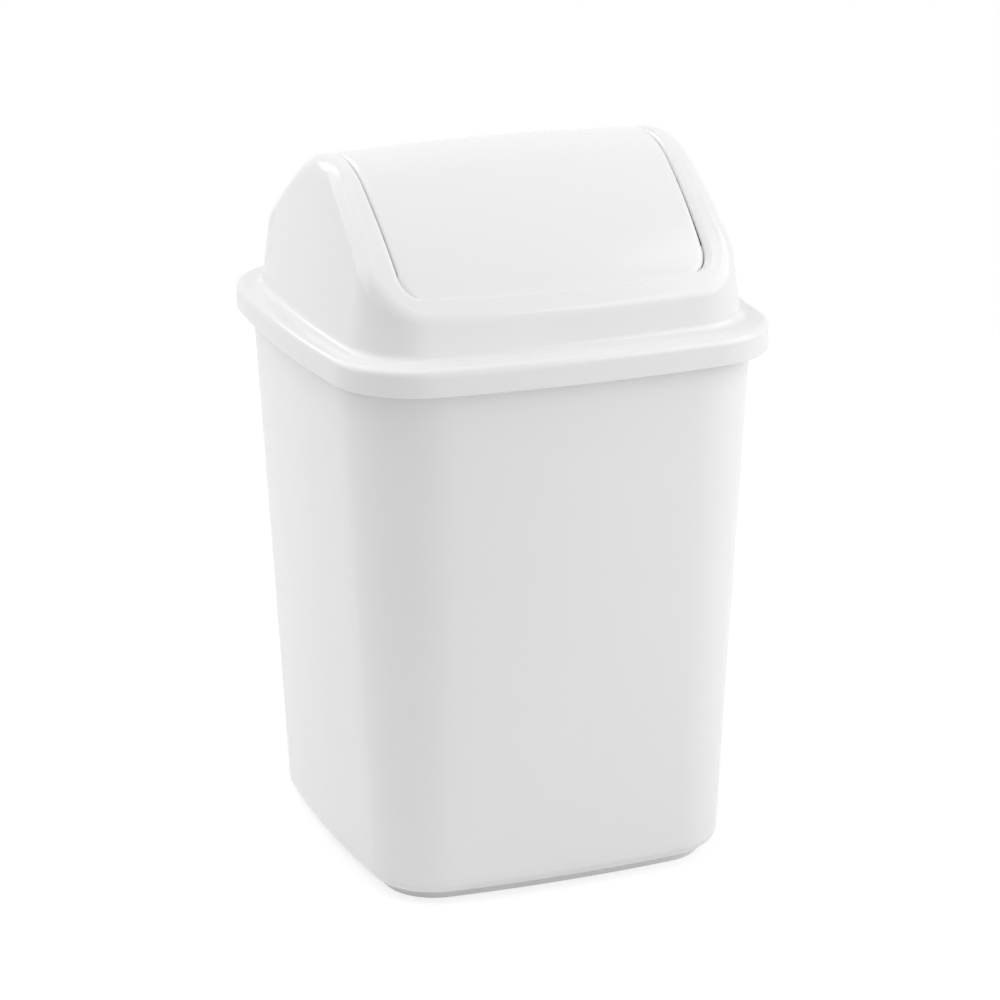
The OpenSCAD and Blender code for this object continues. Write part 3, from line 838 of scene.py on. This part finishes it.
# %% [markdown]
# ## Glossy white polypropylene
#
# All three parts are the same plastic: opaque white polypropylene from a polished
# mould. One white with one roughness would do from afar, but close up such a skin is
# not perfectly even. The mould's polish leaves a very fine grain, the wall sinks and
# swells by a few hundredths of a millimetre as it cools, and handling dulls the gloss
# in soft patches. Each of these is a noise texture at its own scale: two of them drive
# the bump, one the roughness, and a very slow one the colour.

# %% Helpers for the plastic


def noise(nodes, links, place, scale, detail=3.0):
    texture = nodes.new("ShaderNodeTexNoise")
    texture.inputs["Scale"].default_value = scale
    texture.inputs["Detail"].default_value = detail
    links.new(place, texture.inputs["Vector"])
    return texture.outputs["Fac"]


def spread(nodes, links, value, low, high):
    """Turns a noise into a number between two limits."""
    remap = nodes.new("ShaderNodeMapRange")
    remap.clamp = False
    remap.inputs["From Min"].default_value = 0.2
    remap.inputs["From Max"].default_value = 0.8
    remap.inputs["To Min"].default_value = low
    remap.inputs["To Max"].default_value = high
    links.new(value, remap.inputs["Value"])
    return remap.outputs["Result"]


def bump(nodes, links, height, strength, distance):
    node = nodes.new("ShaderNodeBump")
    node.inputs["Strength"].default_value = strength
    node.inputs["Distance"].default_value = distance
    links.new(height, node.inputs["Height"])
    return node


# %% The plastic on each piece
TONE = 0.88
TONE_DIP = 0.985
CLOUD_SCALE, PATCH_SCALE, SWELL_SCALE, GRAIN_SCALE = 14, 45, 28, 2200


def white_plastic(name, gloss):
    material = bpy.data.materials.new(name)
    material.use_nodes = True
    nodes, links = material.node_tree.nodes, material.node_tree.links
    shader = nodes["Principled BSDF"]
    shader.inputs["IOR"].default_value = 1.49
    place = nodes.new("ShaderNodeTexCoord").outputs["Object"]

    tint = nodes.new("ShaderNodeMix")
    tint.data_type = "RGBA"
    tint.inputs["A"].default_value = (TONE, TONE, TONE, 1)
    tint.inputs["B"].default_value = (TONE * TONE_DIP, TONE * TONE_DIP, TONE * TONE_DIP, 1)
    links.new(noise(nodes, links, place, CLOUD_SCALE, detail=2), tint.inputs["Factor"])
    links.new(tint.outputs["Result"], shader.inputs["Base Color"])

    patches = noise(nodes, links, place, PATCH_SCALE)
    roughness = spread(nodes, links, patches, gloss - 0.02, gloss + 0.03)
    links.new(roughness, shader.inputs["Roughness"])

    swell = bump(nodes, links, noise(nodes, links, place, SWELL_SCALE, detail=1),
                 strength=0.35, distance=0.0002)
    grain = bump(nodes, links, noise(nodes, links, place, GRAIN_SCALE, detail=2),
                 strength=0.12, distance=0.00002)
    links.new(swell.outputs["Normal"], grain.inputs["Normal"])
    links.new(grain.outputs["Normal"], shader.inputs["Normal"])
    return material


for piece, name, gloss in ((bin_piece, "body_plastic", 0.14), (hood_piece, "hood_plastic", 0.15),
                           (flap_piece, "flap_plastic", 0.14)):
    piece.data.materials.append(white_plastic(name, gloss))
    print(name, "on", piece.name)

# %% [markdown]
# ## Floor and backdrop
#
# The bin stands on a plain white sheet in front of a plain white backdrop. Both could
# be lit until they turn white, but so much light would wash out the bin. The floor is
# an ordinary pale surface to the light, so it still bounces light up under the bin.
# What the camera and reflections see of it is mostly a plain white, with a share of
# the real light added, so that the bin keeps its soft shadow round the foot. The sheet
# is small, because that share only stays white where the lamps light it well.

# %% What lights the bin and what is seen


def shown_white(tree, soft, white):
    """Mixes what lights the bin with the plain white that the camera and reflections see."""
    path = tree.nodes.new("ShaderNodeLightPath")
    mix = tree.nodes.new("ShaderNodeMixShader")
    seen = path.outputs["Is Camera Ray"]
    for ray in ("Is Glossy Ray", "Is Transmission Ray"):
        either = tree.nodes.new("ShaderNodeMath")
        either.operation = "MAXIMUM"
        tree.links.new(seen, either.inputs[0])
        tree.links.new(path.outputs[ray], either.inputs[1])
        seen = either.outputs["Value"]
    tree.links.new(seen, mix.inputs["Fac"])
    tree.links.new(soft, mix.inputs[1])
    tree.links.new(white, mix.inputs[2])
    return mix.outputs["Shader"]


# %% The floor
SHEET_RADIUS = 0.85
SHEET_TONE = 0.8
SHOWN_GLOW, SHOWN_SHARE = 0.69, 0.4

bm = bmesh.new()
bmesh.ops.create_circle(bm, cap_ends=True, segments=96, radius=SHEET_RADIUS)
floor_mesh = bpy.data.meshes.new("floor")
bm.to_mesh(floor_mesh)
bm.free()
floor = bpy.data.objects.new("floor", floor_mesh)
scene.collection.objects.link(floor)

sheet = bpy.data.materials.new("white_sheet")
sheet.use_nodes = True
tree = sheet.node_tree
tree.nodes.remove(tree.nodes["Principled BSDF"])
matt = tree.nodes.new("ShaderNodeBsdfDiffuse")
matt.inputs["Color"].default_value = (SHEET_TONE, SHEET_TONE, SHEET_TONE, 1)
glow = tree.nodes.new("ShaderNodeEmission")
glow.inputs["Strength"].default_value = SHOWN_GLOW
share = tree.nodes.new("ShaderNodeBsdfDiffuse")
share.inputs["Color"].default_value = (SHOWN_SHARE, SHOWN_SHARE, SHOWN_SHARE, 1)
shown = tree.nodes.new("ShaderNodeAddShader")
tree.links.new(glow.outputs["Emission"], shown.inputs[0])
tree.links.new(share.outputs["BSDF"], shown.inputs[1])
tree.links.new(shown_white(tree, matt.outputs["BSDF"], shown.outputs["Shader"]),
               tree.nodes["Material Output"].inputs["Surface"])
floor_mesh.materials.append(sheet)
print("floor sheet", 2 * SHEET_RADIUS, "m across")

# %% The backdrop
AMBIENT = 0.41

world = bpy.data.worlds.new("studio")
scene.world = world
world.use_nodes = True
tree = world.node_tree
ambient = tree.nodes["Background"]
ambient.inputs["Color"].default_value = (1, 1, 1, 1)
ambient.inputs["Strength"].default_value = AMBIENT
backdrop = tree.nodes.new("ShaderNodeBackground")
backdrop.inputs["Color"].default_value = (1, 1, 1, 1)
tree.links.new(shown_white(tree, ambient.outputs["Background"], backdrop.outputs["Background"]),
               tree.nodes["World Output"].inputs["Surface"])
print("even light of", AMBIENT, "from all round")

# %% [markdown]
# ## Lights
#
# The photograph's light comes from large soft boxes at both sides and above, and
# least from the camera's own direction: the body's front left corner, which faces
# the camera, is the darkest part of it. Point lamps would give hard shadows and small
# bright spots, so each light is a wide rectangle. The narrow strip behind and the small
# box high on the right draw the thin highlights along the rounded edges.

# %% Soft boxes
SOFT_BOXES = [
    # name, degrees round from the front, degrees up, width, height, power
    ("back left strip", -155, 38, 0.3, 0.9, 1.8),
    ("left box", -115, 38, 1.2, 1.2, 6.4),
    ("right box", 60, 32, 1.3, 1.1, 8.9),
    ("left top box", -90, 75, 0.9, 0.9, 2.3),
    ("front box", 0, 8, 0.9, 0.9, 1.6),
    ("right sparkle", 64, 56, 0.25, 0.25, 0.3),
]
BOX_DISTANCE = 1.3
LIT_HEIGHT = 0.15


def soft_box(name, around, height, wide, high, power):
    """A rectangle of light that faces the middle of the bin."""
    light = bpy.data.lights.new(name, "AREA")
    light.shape = "RECTANGLE"
    light.size = wide
    light.size_y = high
    light.energy = power
    lamp = bpy.data.objects.new(name, light)
    a, e = radians(around), radians(height)
    out = Vector((sin(a) * cos(e), -cos(a) * cos(e), sin(e)))
    lamp.location = Vector((0, 0, LIT_HEIGHT)) + out * BOX_DISTANCE
    lamp.rotation_euler = out.to_track_quat("Z", "Y").to_euler()
    scene.collection.objects.link(lamp)


for box in SOFT_BOXES:
    soft_box(*box)
print(len(SOFT_BOXES), "soft boxes")
